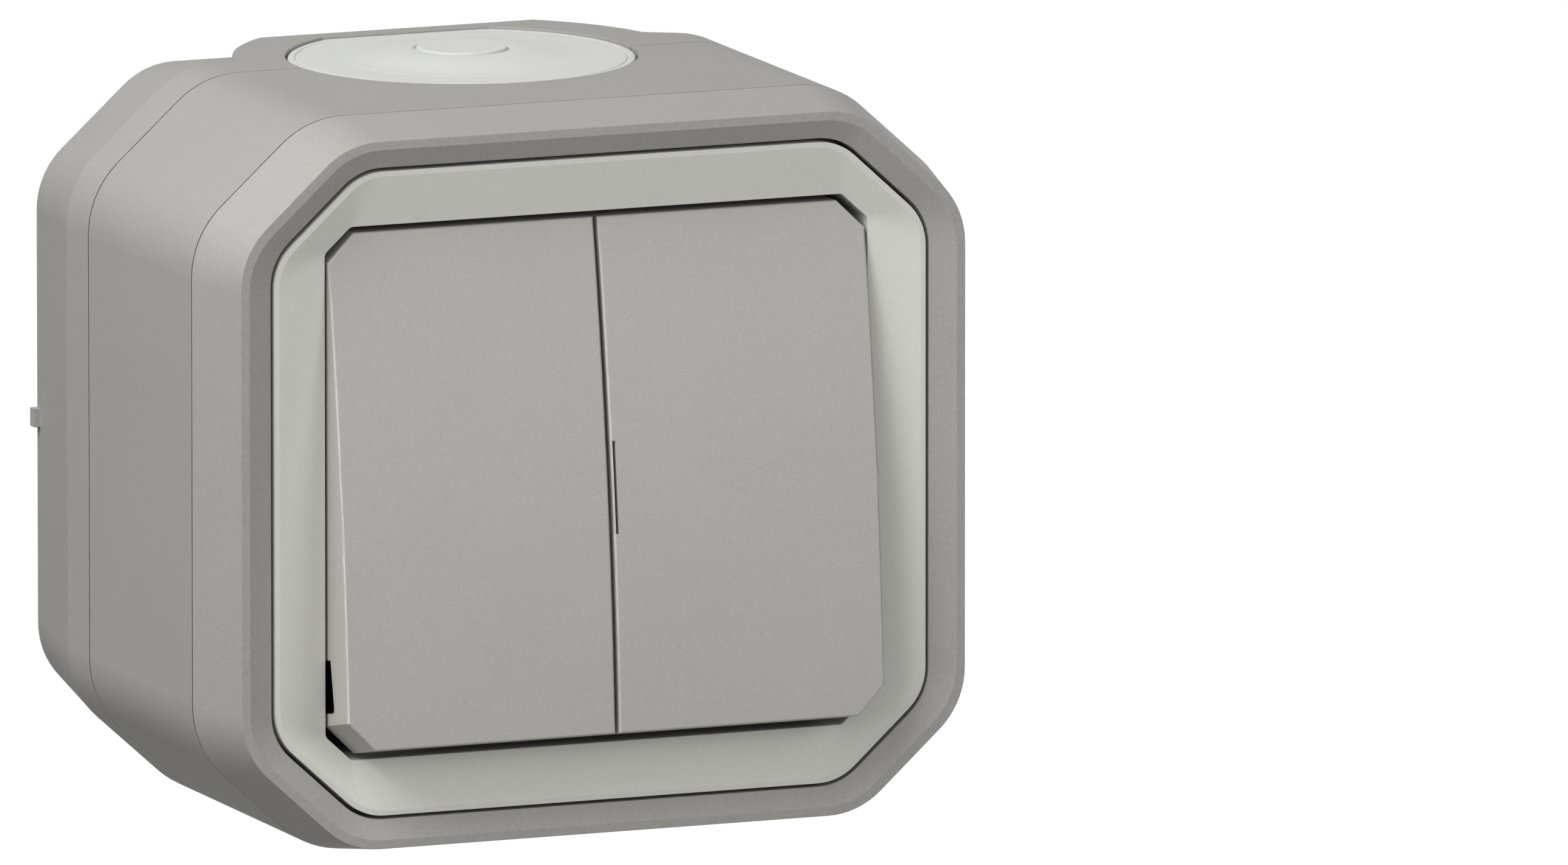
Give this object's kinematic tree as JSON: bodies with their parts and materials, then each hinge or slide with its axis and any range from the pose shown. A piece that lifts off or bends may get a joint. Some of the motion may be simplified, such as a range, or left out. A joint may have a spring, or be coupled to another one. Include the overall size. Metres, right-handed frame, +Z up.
{
  "type": "rocker wall switch",
  "caption": "Surface-mounted splash-proof wall switch: octagonal grey box, light inner frame, side-by-side convex half rockers and a soft cable entry on top.",
  "frame": {"origin": "centre of the face that lies on the wall", "axes": "+Y into the wall, +Z up, +X to the right of someone facing the switch"},
  "size_m": [0.079, 0.0575, 0.0727],
  "materials": {
    "body_plastic": "moulded, fine texture",
    "frame_plastic": "moulded, satin",
    "rocker_plastic": "moulded, fine texture",
    "membrane_rubber": "matt",
    "seal_rubber": "matt",
    "insulator": "moulded",
    "dark_insulator": "moulded",
    "steel": "zinc plated",
    "copper_strip": "stamped",
    "clamp_brass": "machined",
    "silver": "riveted"
  },
  "bodies": {
    "housing": {"bezel_gasket": "seal_rubber", "bezel_screws": "steel", "box_collar": "body_plastic", "box_gasket": "seal_rubber", "cable_membrane": "membrane_rubber", "collar_screws": "steel", "fixed_contacts": "silver", "fixed_strips": "copper_strip", "frame_screws": "steel", "front_bezel": "body_plastic", "front_frame": "frame_plastic", "fulcrum_strips": "copper_strip", "mechanism_cover": "dark_insulator", "mechanism_housing": "insulator", "mechanism_screws": "steel", "pivot_pin_left": "steel", "pivot_pin_right": "steel", "rear_box": "body_plastic", "rocker_seal": "seal_rubber", "support_frame": "steel", "terminal_block": "insulator", "terminal_clamps": "clamp_brass", "terminal_screws": "steel", "wall_grommets": "seal_rubber"},
    "left_rocker": {"rocker_left": "rocker_plastic", "cradle_left": "dark_insulator"},
    "left_plunger": {"plunger_left": "insulator", "plunger_spring_left": "steel"},
    "left_contact": {"contact_arm_left": "copper_strip", "moving_contacts_left": "silver"},
    "right_rocker": {"rocker_right": "rocker_plastic", "cradle_right": "dark_insulator"},
    "right_plunger": {"plunger_right": "insulator", "plunger_spring_right": "steel"},
    "right_contact": {"contact_arm_right": "copper_strip", "moving_contacts_right": "silver"}
  },
  "joints": [
    {"name": "left_rocker_hinge", "type": "hinge", "parent": "housing", "child": "left_rocker", "pos_m": [-0.0132, -0.0497, 0], "axis": [1, 0, 0], "range_deg": [0, 13]},
    {"name": "left_plunger_slide", "type": "slide", "parent": "left_rocker", "child": "left_plunger", "axis": [0, -0.9936, 0.1132], "range_m": [0, 0.0005], "stiffness_N_per_m": 800, "deforming": ["plunger_spring_left"]},
    {"name": "left_contact_hinge", "type": "hinge", "parent": "housing", "child": "left_contact", "pos_m": [-0.0132, -0.0354, 0], "axis": [1, 0, 0], "range_deg": [-16, 0]},
    {"name": "right_rocker_hinge", "type": "hinge", "parent": "housing", "child": "right_rocker", "pos_m": [0.0132, -0.0497, 0], "axis": [1, 0, 0], "range_deg": [0, 13]},
    {"name": "right_plunger_slide", "type": "slide", "parent": "right_rocker", "child": "right_plunger", "axis": [0, -0.9936, 0.1132], "range_m": [0, 0.0005], "stiffness_N_per_m": 800, "deforming": ["plunger_spring_right"]},
    {"name": "right_contact_hinge", "type": "hinge", "parent": "housing", "child": "right_contact", "pos_m": [0.0132, -0.0354, 0], "axis": [1, 0, 0], "range_deg": [-16, 0]}
  ],
  "couplings": [
    {"joint": "left_contact_hinge", "follows": "left_rocker_hinge", "ratio": -1.23},
    {"joint": "right_contact_hinge", "follows": "right_rocker_hinge", "ratio": -1.23}
  ]
}
